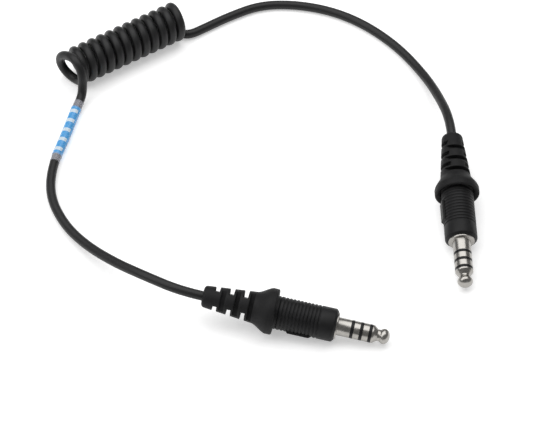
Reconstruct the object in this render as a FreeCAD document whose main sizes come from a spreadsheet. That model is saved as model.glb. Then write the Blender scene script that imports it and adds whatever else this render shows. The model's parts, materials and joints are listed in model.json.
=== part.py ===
import FreeCAD, Part
import math
import os

import Sketcher
from FreeCAD import Placement, Rotation, Vector

# A coiled headset extension lead: a curly cord with a four-pole jack plug on each end and a
# printed band on the cord. Millimetres, +Z up. The lead lies on the surface z = 0, and the
# origin is on that surface, under the middle of the box that holds the two plugs.

# ---------------------------------------------------------------------------------------
# Driving sizes: name, millimetres (or a count or degrees where it says so), meaning
# ---------------------------------------------------------------------------------------
SIZES = [
    ("cord_radius", 1.925, "outer radius of the cord's jacket"),
    ("running_gap", 0.05, "radial clearance of a thread or a running fit"),
    ("soft_gap", 0.325, "radial clearance of the strain relief round the cord"),
    # finger of the plug, from the grip's front face forward
    ("finger_radius", 3.57, "cylindrical part of the finger"),
    ("collar_radius", 5.25, "metal collar at the root of the finger"),
    ("collar_proud", 0.5, "collar in front of the grip's front face"),
    ("collar_sunk", 0.6, "collar behind the grip's front face"),
    ("sleeve_length", 5.2, "bare sleeve, from the collar to the first insulator"),
    ("insulator_width", 1.15, "each black insulator between the contacts"),
    ("ring_width", 2.4, "each of the two ring contacts"),
    ("tip_land", 0.8, "full-width part of the tip contact"),
    ("tip_cone", 1.5, "length of the tip's cone down to the neck"),
    ("neck_radius", 2.3, "neck behind the ball"),
    ("ball_radius", 3.05, "ball at the end of the finger"),
    ("ball_half_length", 2.3, "half the ball's length along the finger"),
    ("ball_centre", 4.8, "from the last insulator to the middle of the ball"),
    ("rod_radius", 0.75, "rod of the tip contact, down the middle of the plug"),
    ("tube_wall", 0.4, "wall of each tube round the rod"),
    ("sleeve_insulator_wall", 0.55, "wall of the insulating tube inside the sleeve"),
    ("shank_radius", 4.6, "threaded shank behind the collar"),
    ("shank_length", 8.4, "shank, from the collar to the terminal block"),
    # wiring inside the grip
    ("rod_in_block", 3.0, "rod of the tip contact inside the terminal block"),
    ("block_share", 0.6413, "half the side of the square terminal block, per shank radius"),
    ("block_length", 7.5, "terminal block along the plug"),
    ("lug_thickness", 0.5, "solder lugs and clamp arms"),
    ("lug_width", 1.5, "solder lug across"),
    ("lug_side", 1.6, "lug's middle from the plug's middle plane"),
    ("lug_start", 0.4, "lug behind the front of the block"),
    ("lug_tail", 2.0, "lug behind the back of the block"),
    ("rivet_radius", 0.5, "rivet through a lug"),
    ("rivet_head", 0.7, "radius of a rivet's head"),
    ("rivet_head_height", 0.4, "height of a rivet's head"),
    ("rivet_depth", 1.35, "rivet inside the block"),
    ("rivet_station", 2.5, "rivets behind the front of the block"),
    ("wire_radius", 0.45, "insulated core wire"),
    ("wire_side", 0.7, "core wires apart from the middle where they leave the jacket"),
    ("wire_gap", 0.3, "free length between a wire and the block or the jacket"),
    ("jacket_back", 12.5, "end of the jacket behind the shank"),
    ("clamp_wall", 0.825, "wall of the clamp ring on the jacket"),
    ("clamp_offset", 1.0, "clamp ring behind the end of the jacket"),
    ("clamp_length", 3.0, "clamp ring along the cord"),
    ("clamp_bridge", 1.5, "bridge from the clamp ring out to its arms"),
    ("clamp_bridge_root", 0.5, "bridge starts this far out from the jacket, in the ring's wall"),
    ("arm_half_width", 0.9, "half the width of a clamp arm"),
    # grip that screws on the shank
    ("grip_front", 60.0, "from the plug's own datum to the grip's front face"),
    ("grip_radius", 6.5, "grip, outside"),
    ("grip_length", 25.6, "grip, from its front face to the step into the boot"),
    ("grip_spigot_radius", 5.0, "spigot that the boot sits on"),
    ("grip_spigot_length", 4.4, "spigot along the plug"),
    ("grip_thread_depth", 9.5, "end of the grip's thread behind its front face"),
    ("grip_bore", 5.2, "radius of the grip's inside, behind its thread"),
    ("grip_back_wall", 1.0, "grip's inside ends this far in front of the step"),
    ("grip_back_bore", 3.8, "radius of the hole through the spigot"),
    ("collar_gap", 0.1, "collar's clearance in its seat in the grip"),
    ("rib_pitch", 1.42, "from one grip rib to the next"),
    ("rib_count", 11.0, "grooves between the ribs (a count)"),
    ("rib_groove_width", 0.6, "groove between two ribs"),
    ("rib_groove_depth", 0.3, "depth of every groove"),
    ("rib_first", 6.6, "first groove behind the front face"),
    ("wing_radius", 7.05, "smooth raised strip on one side of the grip"),
    ("wing_root", 5.8, "radius that the strip starts inside the grip's wall"),
    ("wing_half_width", 1.9, "half the width of the strip"),
    ("wing_start", 8.6, "strip behind the front face"),
    ("wing_length", 10.2, "strip along the plug"),
    ("wing_ramp", 1.0, "sloping end of the strip"),
    ("front_taper", 0.9, "length of the grip's tapered front end"),
    ("front_lip", 0.2, "flat lip between the collar's seat and the taper"),
    ("rear_groove", 22.5, "single groove near the boot, behind the front face"),
    ("rear_groove_width", 0.5, "width of that groove"),
    # rubber boot: cup, body and slotted strain relief, back from its front face
    ("boot_exposure_a", 23.9, "grip in front of the boot on plug A"),
    ("boot_exposure_b", 21.9, "grip in front of the boot on plug B"),
    ("cup_radius", 9.0, "rim of the boot's cup"),
    ("cup_rim", 3.6, "rim of the cup along the plug"),
    ("cup_round", 0.8, "rounding of the rim's two edges"),
    ("cup_cone", 4.6, "cone behind the rim"),
    ("cup_recess_radius", 6.8, "recess in the cup, round the grip"),
    ("cup_recess_depth", 4.0, "depth of the recess"),
    ("spigot_seat_depth", 8.4, "end of the seat for the spigot"),
    ("boot_front_radius", 6.2, "boot at the thick end of the strain relief"),
    ("boot_rear_radius", 4.2, "boot at its rear end"),
    ("boot_length", 28.8, "boot, from the cup's face to its rear end"),
    ("boot_rear_round", 1.2, "rounding of the rear end"),
    ("slot_width", 1.8, "slot in the strain relief"),
    ("slot_pitch", 5.6, "from one slot to the next on the same side"),
    ("slot_count", 3.0, "slots in a row (a count)"),
    ("slot_first", 9.6, "first upper and lower slots behind the cup's face"),
    ("slot_stagger", 2.7, "side slots behind the upper and lower ones"),
    ("spine_half", 2.9, "half the spine left between two opposite slots"),
    # coil
    ("coil_radius", 8.45, "outside of the coil"),
    ("coil_hole", 4.6, "inside of the coil"),
    ("coil_length", 58.0, "coil from end to end"),
    ("coil_heading", 33.0, "coil's axis from +X, in degrees"),
    ("coil_start_x", -114.7, "left end of the coil's axis, X"),
    ("coil_start_y", 89.7, "left end of the coil's axis, Y"),
    ("coil_clearance", 0.4, "between the coil's right end and the cord to plug B"),
    # printed band under a clear sleeve
    ("band_wall", 0.225, "printed band round the cord"),
    ("band_sleeve_wall", 0.25, "clear sleeve round the printed band"),
    ("band_start", 11.0, "printed band from the coil, along the cord"),
    ("band_length", 27.0, "printed band along the cord"),
    ("band_margin", 3.5, "clear sleeve beyond each end of the printed band"),
    # where the plugs lie
    ("plug_a_x", -3.3, "middle of grip A's front face, X"),
    ("plug_a_y", -43.1, "middle of grip A's front face, Y"),
    ("plug_a_heading", -11.3, "direction that plug A points in, from +X, in degrees"),
    ("plug_b_x", 47.1, "middle of grip B's front face, X"),
    ("plug_b_y", -1.0, "middle of grip B's front face, Y"),
    ("plug_b_heading", -88.1, "direction that plug B points in, from +X, in degrees"),
    ("grip_roll_a", 38.0, "grip A turned about the plug's axis, in degrees"),
    ("grip_roll_b", -8.0, "grip B turned about the plug's axis, in degrees"),
    ("boot_roll_a", 40.0, "boot A turned about the plug's axis, in degrees"),
    ("boot_roll_b", -12.0, "boot B turned about the plug's axis, in degrees"),
    ("cord_straight", 9.0, "first run of the cord, straight out of the boot"),
]

# The cord's route on the surface where it isn't coiled: corners that its bends round off.
ROUTE_A = [
    Vector(-77.5, -23.0, 12.0),
    Vector(-90.0, -13.0, 8.0),
    Vector(-102.0, -1.0, 4.0),
    Vector(-111.5, 11.0, 2.6),
    Vector(-118.0, 26.0, 2.5),
    Vector(-118.0, 42.0, 2.5),
    Vector(-113.5, 58.0, 2.5),
    Vector(-110.0, 73.0, 2.7),
    Vector(-107.4, 86.7, 5.5),
]
ROUTE_B = [
    Vector(-55.5, 124.0, 1.95),
    Vector(-46.5, 129.5, 1.95),
    Vector(-33.0, 135.5, 1.95),
    Vector(-17.0, 135.8, 1.95),
    Vector(-1.0, 131.5, 1.95),
    Vector(13.0, 123.0, 1.95),
    Vector(26.0, 110.0, 1.95),
    Vector(35.5, 94.5, 2.8),
    Vector(41.0, 79.0, 6.5),
]
CORD_B_OFFSET = 4.0  # cord to plug B leaves the coil this far to the near side of its axis
CORD_B_HEIGHT = 1.95  # height of that cord's middle
BEND_SHARE = 0.45  # share of the shorter run that a bend takes
OVERSHOOT = 1.0  # how far the outline of a cut runs past the surface it cuts

doc = FreeCAD.newDocument("CoiledHeadsetLead")
sheet = doc.addObject("Spreadsheet::Sheet", "Sizes")
for row, (alias, number, meaning) in enumerate(SIZES, start=1):
    sheet.set(f"A{row}", meaning)
    sheet.set(f"B{row}", str(number))
    sheet.setAlias(f"B{row}", alias)
doc.recompute()


class Size:
    """A length worked out from the sheet: its value, and the expression that keeps it true."""

    def __init__(self, value, text):
        self.value = value
        self.text = text

    def __add__(self, other):
        other = as_size(other)
        return Size(self.value + other.value, f"({self.text} + {other.text})")

    def __sub__(self, other):
        other = as_size(other)
        return Size(self.value - other.value, f"({self.text} - {other.text})")

    def __mul__(self, other):
        other = as_size(other)
        return Size(self.value * other.value, f"({self.text} * {other.text})")


def as_size(number):
    return number if isinstance(number, Size) else Size(float(number), str(number))


def cell(alias):
    """The sheet's value of this name, as a Size."""
    return Size(float(sheet.get(alias)), f"Sizes.{alias}")


def value(alias):
    return float(sheet.get(alias))


# ---------------------------------------------------------------------------------------
# Ways of making a piece
# ---------------------------------------------------------------------------------------
def new_body(label):
    body = doc.addObject("PartDesign::Body", label)
    body.Label = label
    body.AllowCompound = True
    return body


def new_sketch(body, plane, height=None):
    """A sketch on one of the body's origin planes, or parallel to it at a height."""
    sketch = body.newObject("Sketcher::SketchObject", f"{body.Name}_outline")
    support = [f for f in body.Origin.OriginFeatures if f.Role == plane][0]
    sketch.AttachmentSupport = [(support, "")]
    sketch.MapMode = "FlatFace"
    if height is not None:
        sketch.setExpression("AttachmentOffset.Base.z", height.text)
    return sketch


def pin(sketch, geometry, point, across, up):
    """Holds one point of the sketch at (across, up), each bound to the sheet."""
    for kind, place, axis in (("DistanceX", across, -2), ("DistanceY", up, -1)):
        place = as_size(place)
        if abs(place.value) < 1e-9:
            sketch.addConstraint(Sketcher.Constraint("PointOnObject", geometry, point, axis))
            continue
        if place.value > 0:
            rule = Sketcher.Constraint(kind, -1, 1, geometry, point, place.value)
            text = place.text
        else:
            rule = Sketcher.Constraint(kind, geometry, point, -1, 1, -place.value)
            text = f"-1 * {place.text}"
        index = sketch.addConstraint(rule)
        sketch.setExpression(f"Constraints[{index}]", text)


def add_outline(sketch, corners):
    """A closed outline of straight lines through the corners."""
    first = sketch.GeometryCount
    ends = [Vector(as_size(x).value, as_size(y).value, 0) for x, y in corners]
    for here, there in zip(ends, ends[1:] + ends[:1]):
        sketch.addGeometry(Part.LineSegment(here, there), False)
    count = len(corners)
    for k in range(count):
        following = first + (k + 1) % count
        sketch.addConstraint(Sketcher.Constraint("Coincident", first + k, 2, following, 1))
    for k, (x, y) in enumerate(corners):
        pin(sketch, first + k, 1, x, y)


def add_circle(sketch, radius, x=0.0, y=0.0):
    x, y, radius = as_size(x), as_size(y), as_size(radius)
    circle = Part.Circle(Vector(x.value, y.value, 0), Vector(0, 0, 1), radius.value)
    index = sketch.addGeometry(circle, False)
    pin(sketch, index, 3, x, y)
    rule = sketch.addConstraint(Sketcher.Constraint("Radius", index, radius.value))
    sketch.setExpression(f"Constraints[{rule}]", radius.text)


def rectangle(left, right, low, high):
    return [(left, low), (right, low), (right, high), (left, high)]


def revolve(body, corners):
    """Turns an outline of (radius, station) corners round the plug's axis."""
    sketch = new_sketch(body, "XZ_Plane")
    add_outline(sketch, corners)
    feature = body.newObject("PartDesign::Revolution", f"{body.Name}_turned")
    feature.Profile = sketch
    feature.ReferenceAxis = (sketch, ["V_Axis"])
    feature.Angle = 360.0
    sketch.Visibility = False
    body.Tip = feature
    return feature


def pad(body, sketch, length, both_ways=False):
    feature = body.newObject("PartDesign::Pad", f"{body.Name}_pad")
    feature.Profile = sketch
    feature.Midplane = both_ways
    feature.setExpression("Length", as_size(length).text)
    body.Tip = feature
    return feature


def cut_through(body, sketch):
    """Cuts the sketch's areas right through the body, both ways."""
    feature = body.newObject("PartDesign::Pocket", f"{body.Name}_cut")
    feature.Profile = sketch
    feature.Type = 1
    feature.Midplane = True
    body.Tip = feature
    return feature


def cut_round(body, corners):
    """Turns an outline round the plug's axis and cuts it away."""
    sketch = new_sketch(body, "XZ_Plane")
    add_outline(sketch, corners)
    feature = body.newObject("PartDesign::Groove", f"{body.Name}_groove")
    feature.Profile = sketch
    feature.ReferenceAxis = (sketch, ["V_Axis"])
    feature.Angle = 360.0
    body.Tip = feature
    return feature


def repeat_along_axis(body, feature, spacing, count_alias):
    """Repeats a cut along the plug's axis, away from the front."""
    pattern = body.newObject("PartDesign::LinearPattern", f"{body.Name}_row")
    pattern.Originals = [feature]
    pattern.Direction = (feature.Profile[0], ["V_Axis"])
    pattern.Reversed = True
    pattern.setExpression("Occurrences", f"Sizes.{count_alias}")
    pattern.setExpression("Length", (spacing * (cell(count_alias) - 1)).text)
    body.Tip = pattern
    return pattern


def ring_edges(shape, radius, height):
    """Names of the circular edges of this radius at this height on the plug's axis."""
    found = []
    for index, edge in enumerate(shape.Edges, start=1):
        curve = edge.Curve
        if not isinstance(curve, Part.Circle):
            continue
        same_radius = abs(curve.Radius - radius) < 1e-4
        if same_radius and abs(curve.Center.z - height) < 1e-4:
            found.append(f"Edge{index}")
    return found


def round_edges(body, base, radius, height, rounding):
    """Rounds the circular edges of this radius and height."""
    doc.recompute()
    edges = ring_edges(base.Shape, radius.value, height.value)
    if not edges:
        raise RuntimeError(f"{body.Label}: no edge to round at {height.value}")
    feature = body.newObject("PartDesign::Fillet", f"{body.Name}_round")
    feature.Base = (base, edges)
    feature.setExpression("Radius", as_size(rounding).text)
    body.Tip = feature
    return feature


def tube_outline(inner, outer, low, high):
    return [(inner, low), (outer, low), (outer, high), (inner, high)]


# ---------------------------------------------------------------------------------------
# Stations along a plug, from its own datum, and radii of its nested tubes
# ---------------------------------------------------------------------------------------
FRONT = cell("grip_front")
COLLAR_FACE = FRONT + cell("collar_proud")
COLLAR_BACK = FRONT - cell("collar_sunk")
SHANK_END = COLLAR_BACK - cell("shank_length")
INSULATOR_1 = COLLAR_FACE + cell("sleeve_length")
RING_1 = INSULATOR_1 + cell("insulator_width")
INSULATOR_2 = RING_1 + cell("ring_width")
RING_2 = INSULATOR_2 + cell("insulator_width")
INSULATOR_3 = RING_2 + cell("ring_width")
TIP = INSULATOR_3 + cell("insulator_width")
BLOCK_HALF = cell("shank_radius") * cell("block_share")
BLOCK_END = SHANK_END - cell("block_length")
JACKET_END = SHANK_END - cell("jacket_back")
CLAMP_FRONT = JACKET_END - cell("clamp_offset")
CLAMP_BACK = CLAMP_FRONT - cell("clamp_length")

TUBE_RADII = [cell("rod_radius")]
for _ in range(4):
    TUBE_RADII.append(TUBE_RADII[-1] + cell("tube_wall"))
SLEEVE_BORE = TUBE_RADII[4] + cell("sleeve_insulator_wall")


def make_tip_rod(tag):
    """Ball, neck, cone and land of the tip contact, on the rod that runs through the plug."""
    end = SHANK_END - cell("rod_in_block")
    ball = TIP + cell("ball_centre")
    parts = []
    pieces = (
        (cell("rod_radius"), end, TIP),
        (cell("finger_radius"), TIP, TIP + cell("tip_land")),
        (cell("neck_radius"), TIP + cell("tip_land"), ball),
    )
    for number, (radius, low, high) in enumerate(pieces):
        cylinder = doc.addObject("Part::Cylinder", f"tip_part_{tag}_{number}")
        cylinder.setExpression("Radius", radius.text)
        cylinder.setExpression("Height", (high - low).text)
        cylinder.setExpression("Placement.Base.z", low.text)
        parts.append(cylinder)
    cone = doc.addObject("Part::Cone", f"tip_cone_{tag}")
    cone.setExpression("Radius1", cell("finger_radius").text)
    cone.setExpression("Radius2", cell("neck_radius").text)
    cone.setExpression("Height", cell("tip_cone").text)
    cone.setExpression("Placement.Base.z", (TIP + cell("tip_land")).text)
    parts.append(cone)
    sphere = doc.addObject("Part::Ellipsoid", f"tip_ball_{tag}")
    sphere.setExpression("Radius1", cell("ball_half_length").text)
    sphere.setExpression("Radius2", cell("ball_radius").text)
    sphere.setExpression("Radius3", cell("ball_radius").text)
    sphere.setExpression("Placement.Base.z", ball.text)
    parts.append(sphere)
    fused = doc.addObject("Part::MultiFuse", f"tip_contact_{tag}")
    fused.Shapes = parts
    fused.Label = f"tip_contact_{tag}"
    return fused


def make_nested(label, inner, outer, step):
    """A tube down the plug with a full-width disc at its front, from step[0] to step[1]."""
    body = new_body(label)
    low, high = step
    full = cell("finger_radius")
    corners = [(inner, SHANK_END), (outer, SHANK_END), (outer, low)]
    corners += [(full, low), (full, high), (inner, high)]
    revolve(body, corners)
    return body


def make_sleeve(tag):
    """Sleeve contact, collar and threaded shank in one turned piece."""
    body = new_body(f"sleeve_contact_{tag}")
    corners = [
        (SLEEVE_BORE, SHANK_END),
        (cell("shank_radius"), SHANK_END),
        (cell("shank_radius"), COLLAR_BACK),
        (cell("collar_radius"), COLLAR_BACK),
        (cell("collar_radius"), COLLAR_FACE),
        (cell("finger_radius"), COLLAR_FACE),
        (cell("finger_radius"), INSULATOR_1),
        (SLEEVE_BORE, INSULATOR_1),
    ]
    revolve(body, corners)
    return body


def make_sleeve_insulator(tag):
    """Insulating tube inside the sleeve, with the first black band."""
    body = new_body(f"sleeve_insulator_{tag}")
    full = cell("finger_radius")
    inner = TUBE_RADII[4]
    corners = [(inner, SHANK_END), (SLEEVE_BORE, SHANK_END), (SLEEVE_BORE, INSULATOR_1)]
    corners += [(full, INSULATOR_1), (full, RING_1), (inner, RING_1)]
    revolve(body, corners)
    return body


def make_terminal_block(tag):
    """Square insulating block behind the shank, with holes for the rod and the rivets."""
    body = new_body(f"terminal_block_{tag}")
    half = BLOCK_HALF
    outline = new_sketch(body, "XY_Plane", BLOCK_END)
    add_outline(outline, rectangle(half * -1, half, half * -1, half))
    pad(body, outline, cell("block_length"))
    hole = new_sketch(body, "XY_Plane", SHANK_END - cell("rod_in_block"))
    add_circle(hole, cell("rod_radius"))
    drilled = body.newObject("PartDesign::Pocket", f"{body.Name}_hole")
    drilled.Profile = hole
    drilled.Reversed = True
    drilled.setExpression("Length", cell("rod_in_block").text)
    body.Tip = drilled
    station = SHANK_END - cell("rivet_station")
    for side, backwards in ((1, True), (-1, False)):
        level = (half - cell("rivet_depth")) * side
        holes = new_sketch(body, "XZ_Plane", level * -1)
        for across in (-1, 1):
            add_circle(holes, cell("rivet_radius"), cell("lug_side") * across, station)
        drilled = body.newObject("PartDesign::Pocket", f"{body.Name}_rivet_holes")
        drilled.Profile = holes
        drilled.Reversed = not backwards
        drilled.setExpression("Length", cell("rivet_depth").text)
        body.Tip = drilled
    return body


def make_solder_lugs(tag):
    """Four flat lugs, two on the top of the block and two under it, with rivet holes."""
    body = new_body(f"solder_lugs_{tag}")
    start = BLOCK_END - cell("lug_tail")
    length = SHANK_END - cell("lug_start") - start
    half_width = cell("lug_width") * 0.5
    outline = new_sketch(body, "XY_Plane", start)
    for across in (-1, 1):
        middle = cell("lug_side") * across
        for side in (-1, 1):
            low = BLOCK_HALF * side
            high = (BLOCK_HALF + cell("lug_thickness")) * side
            add_outline(outline, rectangle(middle - half_width, middle + half_width, low, high))
    pad(body, outline, length)
    holes = new_sketch(body, "XZ_Plane")
    for across in (-1, 1):
        station = SHANK_END - cell("rivet_station")
        add_circle(holes, cell("rivet_radius"), cell("lug_side") * across, station)
    cut_through(body, holes)
    return body


def make_rivets(tag):
    """Four rivets, each a shank in the block and lug and a low head on the lug."""
    rivets = []
    for across in (-1, 1):
        for side in (-1, 1):
            parts = []
            lug_face = BLOCK_HALF + cell("lug_thickness")
            root = BLOCK_HALF - cell("rivet_depth")
            spans = (
                (cell("rivet_radius"), root, lug_face),
                (cell("rivet_head"), lug_face, lug_face + cell("rivet_head_height")),
            )
            for radius, low, high in spans:
                name = f"rivet_part_{tag}_{len(rivets)}_{len(parts)}"
                cylinder = doc.addObject("Part::Cylinder", name)
                cylinder.setExpression("Radius", radius.text)
                cylinder.setExpression("Height", (high - low).text)
                cylinder.Placement.Rotation = Rotation(Vector(1, 0, 0), -90 * side)
                cylinder.setExpression("Placement.Base.x", (cell("lug_side") * across).text)
                cylinder.setExpression("Placement.Base.y", (low * side).text)
                station = SHANK_END - cell("rivet_station")
                cylinder.setExpression("Placement.Base.z", station.text)
                parts.append(cylinder)
            rivet = doc.addObject("Part::Fuse", f"rivet_{tag}_{len(rivets)}")
            rivet.Base, rivet.Tool = parts
            rivets.append(rivet)
    group = doc.addObject("Part::Compound", f"lug_rivets_{tag}")
    group.Links = rivets
    group.Label = f"lug_rivets_{tag}"
    return group


def make_core_wires(tag):
    """Four insulated cores that fan out from the end of the jacket to the lugs."""
    low = JACKET_END.value + value("wire_gap")
    high = BLOCK_END.value - value("wire_gap")
    reach = BLOCK_HALF.value - value("wire_radius")
    wires = []
    for across in (-1, 1):
        for side in (-1, 1):
            start = Vector(across * value("wire_side"), side * value("wire_side"), low)
            end = Vector(across * value("lug_side"), side * reach, high)
            wire = doc.addObject("Part::Cylinder", f"wire_{tag}_{len(wires)}")
            wire.setExpression("Radius", cell("wire_radius").text)
            wire.Height = (end - start).Length
            wire.Placement = Placement(start, Rotation(Vector(0, 0, 1), end - start))
            wires.append(wire)
    group = doc.addObject("Part::Compound", f"core_wires_{tag}")
    group.Links = wires
    group.Label = f"core_wires_{tag}"
    return group


def make_cord_clamp(tag):
    """Ring crimped on the jacket, with two arms that reach forward to the shank."""
    body = new_body(f"cord_clamp_{tag}")
    ring = new_sketch(body, "XY_Plane", CLAMP_BACK)
    add_circle(ring, cell("cord_radius"))
    add_circle(ring, cell("cord_radius") + cell("clamp_wall"))
    pad(body, ring, cell("clamp_length"))
    half = cell("arm_half_width")
    arm_in = BLOCK_HALF
    arm_out = arm_in + cell("lug_thickness")
    bridge_root = cell("cord_radius") + cell("clamp_bridge_root")
    for inner, length in (
        (bridge_root, cell("clamp_bridge")),
        (arm_in, SHANK_END - CLAMP_BACK),
    ):
        outline = new_sketch(body, "XY_Plane", CLAMP_BACK)
        for side in (-1, 1):
            add_outline(outline, rectangle(inner * side, arm_out * side, half * -1, half))
        pad(body, outline, length)
    return body


def make_cord_end(tag, rear):
    """The cord's jacket inside the boot and the grip, up to where it is stripped."""
    body = new_body(f"cord_end_{tag}")
    section = new_sketch(body, "XY_Plane", rear)
    add_circle(section, cell("cord_radius"))
    pad(body, section, JACKET_END - rear)
    return body


def make_grip(tag):
    """Ribbed grip that screws on the shank: its thread is a plain running bore."""
    body = new_body(f"grip_shell_{tag}")
    outer = cell("grip_radius")
    spigot = cell("grip_spigot_radius")
    step = FRONT - cell("grip_length")
    end = step - cell("grip_spigot_length")
    seat = cell("collar_radius") + cell("collar_gap")
    seat_end = COLLAR_BACK - cell("collar_gap")
    thread = cell("shank_radius") + cell("running_gap")
    thread_end = FRONT - cell("grip_thread_depth")
    bore = cell("grip_bore")
    bore_end = step + cell("grip_back_wall")
    back = cell("grip_back_bore")
    revolve(
        body,
        [
            (back, end),
            (spigot, end),
            (spigot, step),
            (outer, step),
            (outer, FRONT - cell("front_taper")),
            (seat + cell("front_lip"), FRONT),
            (seat, FRONT),
            (seat, seat_end),
            (thread, seat_end),
            (thread, thread_end),
            (bore, thread_end),
            (bore, bore_end),
            (back, bore_end),
        ],
    )
    root = outer - cell("rib_groove_depth")
    rear_top = FRONT - cell("rear_groove")
    rear_low = rear_top - cell("rear_groove_width")
    cut_round(body, tube_outline(root, outer + OVERSHOOT, rear_low, rear_top))
    groove_top = FRONT - cell("rib_first")
    groove_low = groove_top - cell("rib_groove_width")
    groove = cut_round(body, tube_outline(root, outer + OVERSHOOT, groove_low, groove_top))
    repeat_along_axis(body, groove, cell("rib_pitch"), "rib_count")
    top = FRONT - cell("wing_start")
    low = top - cell("wing_length")
    ramp = cell("wing_ramp")
    inside = cell("wing_root") * -1
    wing_face = cell("wing_radius") * -1
    strip = new_sketch(body, "YZ_Plane")
    add_outline(
        strip,
        [(inside, low), (wing_face, low + ramp), (wing_face, top - ramp), (inside, top)],
    )
    pad(body, strip, cell("wing_half_width") * 2, both_ways=True)
    return body


def make_boot(tag, face):
    """Rubber boot: a cup round the grip, then a strain relief with staggered slots."""
    body = new_body(f"strain_relief_boot_{tag}")
    rim = cell("cup_radius")
    rim_end = face - cell("cup_rim")
    cone_end = rim_end - cell("cup_cone")
    rear = face - cell("boot_length")
    recess = cell("cup_recess_radius")
    recess_end = face - cell("cup_recess_depth")
    seat = cell("grip_spigot_radius") + cell("running_gap")
    seat_end = face - cell("spigot_seat_depth")
    bore = cell("cord_radius") + cell("soft_gap")
    turned = revolve(
        body,
        [
            (bore, rear),
            (cell("boot_rear_radius"), rear),
            (cell("boot_front_radius"), cone_end),
            (rim, rim_end),
            (rim, face),
            (recess, face),
            (recess, recess_end),
            (seat, recess_end),
            (seat, seat_end),
            (bore, seat_end),
        ],
    )
    front = round_edges(body, turned, rim, face, cell("cup_round"))
    middle = round_edges(body, front, rim, rim_end, cell("cup_round"))
    round_edges(body, middle, cell("boot_rear_radius"), rear, cell("boot_rear_round"))
    half_slot = cell("slot_width") * 0.5
    first_row = face - cell("slot_first")
    for plane, station in (
        ("XZ_Plane", first_row),
        ("YZ_Plane", first_row - cell("slot_stagger")),
    ):
        sketch = new_sketch(body, plane)
        for side in (-1, 1):
            inner = cell("spine_half") * side
            outer = (cell("boot_front_radius") + OVERSHOOT) * side
            low = station - half_slot
            add_outline(sketch, rectangle(inner, outer, low, station + half_slot))
        slots = cut_through(body, sketch)
        repeat_along_axis(body, slots, cell("slot_pitch"), "slot_count")
    return body


def plug_placement(tag, roll=0.0):
    """Where a plug lies: on its cup's rim and the corner of its grip's taper, nose down."""
    rounding = value("cup_round")
    taper = value("front_taper")
    run = value(f"boot_exposure_{tag}") + rounding - taper
    rise = value("cup_radius") - rounding - value("grip_radius")
    tilt = math.atan2(rise, run) + math.asin(rounding / math.hypot(run, rise))
    height = value("grip_radius") * math.cos(tilt) - taper * math.sin(tilt)
    middle = Vector(value(f"plug_{tag}_x"), value(f"plug_{tag}_y"), height)
    heading = Rotation(Vector(0, 0, 1), value(f"plug_{tag}_heading"))
    nose_down = Rotation(Vector(0, 1, 0), 90 + math.degrees(tilt))
    turn = heading.multiply(nose_down).multiply(Rotation(Vector(0, 0, 1), roll))
    datum = middle - turn.multVec(Vector(0, 0, value("grip_front")))
    return Placement(datum, turn)


def make_plug(tag):
    """All the pieces of one plug, placed where the plug lies."""
    face = FRONT - cell(f"boot_exposure_{tag}")
    rear = face - cell("boot_length")
    r = TUBE_RADII
    pieces = [
        make_tip_rod(tag),
        make_nested(f"tip_insulator_{tag}", r[0], r[1], (INSULATOR_3, TIP)),
        make_nested(f"front_ring_{tag}", r[1], r[2], (RING_2, INSULATOR_3)),
        make_nested(f"ring_insulator_{tag}", r[2], r[3], (INSULATOR_2, RING_2)),
        make_nested(f"rear_ring_{tag}", r[3], r[4], (RING_1, INSULATOR_2)),
        make_sleeve_insulator(tag),
        make_sleeve(tag),
        make_terminal_block(tag),
        make_solder_lugs(tag),
        make_rivets(tag),
        make_core_wires(tag),
        make_cord_clamp(tag),
        make_cord_end(tag, rear),
    ]
    for piece in pieces:
        piece.Placement = plug_placement(tag)
    grip = make_grip(tag)
    grip.Placement = plug_placement(tag, value(f"grip_roll_{tag}"))
    boot = make_boot(tag, face)
    boot.Placement = plug_placement(tag, value(f"boot_roll_{tag}"))
    return pieces + [grip, boot]


# ---------------------------------------------------------------------------------------
# The cord: straight runs joined by tangent arcs
# ---------------------------------------------------------------------------------------
def cord_edges(name, points):
    """Edges along a route, each corner rounded as far as its two runs allow."""
    edges = []
    start = points[0]
    radii = []
    for before, corner, after in zip(points, points[1:], points[2:]):
        back = before - corner
        ahead = after - corner
        reach = BEND_SHARE * min(back.Length, ahead.Length)
        back.normalize()
        ahead.normalize()
        turn = math.pi - back.getAngle(ahead)
        radii.append(reach / math.tan(turn / 2))
        entry = corner + back * reach
        leave = corner + ahead * reach
        inward = (back + ahead).normalize()
        middle_distance = radii[-1] / math.cos(turn / 2) - radii[-1]
        middle = corner + inward * middle_distance
        edges.append(Part.LineSegment(start, entry).toShape())
        edges.append(Part.Arc(entry, middle, leave).toShape())
        start = leave
    edges.append(Part.LineSegment(start, points[-1]).toShape())
    length = sum(edge.Length for edge in edges)
    bends = ", ".join(f"{radius:.0f}" for radius in radii)
    print(f"{name}: length {length:.1f} mm, bend radii {bends} mm")
    return edges


def stretch(edges, begin, end):
    """The part of a path between two distances along it."""
    kept = []
    done = 0.0
    for edge in edges:
        low = max(begin - done, 0.0)
        high = min(end - done, edge.Length)
        if high - low > 1e-6:
            first = edge.getParameterByLength(low)
            last = edge.getParameterByLength(high)
            kept.append(edge.Curve.toShape(first, last))
        done += edge.Length
    return kept


def make_tube(name, edges, radius):
    """A round bar along a path, with its radius bound to the sheet."""
    path = doc.addObject("Part::Feature", f"{name}_path")
    path.Shape = Part.Wire(edges)
    start = edges[0].valueAt(edges[0].FirstParameter)
    along = edges[0].tangentAt(edges[0].FirstParameter)
    section = doc.addObject("Part::Circle", f"{name}_section")
    section.setExpression("Radius", radius.text)
    section.Placement = Placement(start, Rotation(Vector(0, 0, 1), along))
    tube = doc.addObject("Part::Sweep", f"{name}_tube")
    tube.Sections = [section]
    tube.Spine = (path, [f"Edge{k + 1}" for k in range(len(edges))])
    tube.Solid = True
    tube.Frenet = False
    return tube


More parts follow.
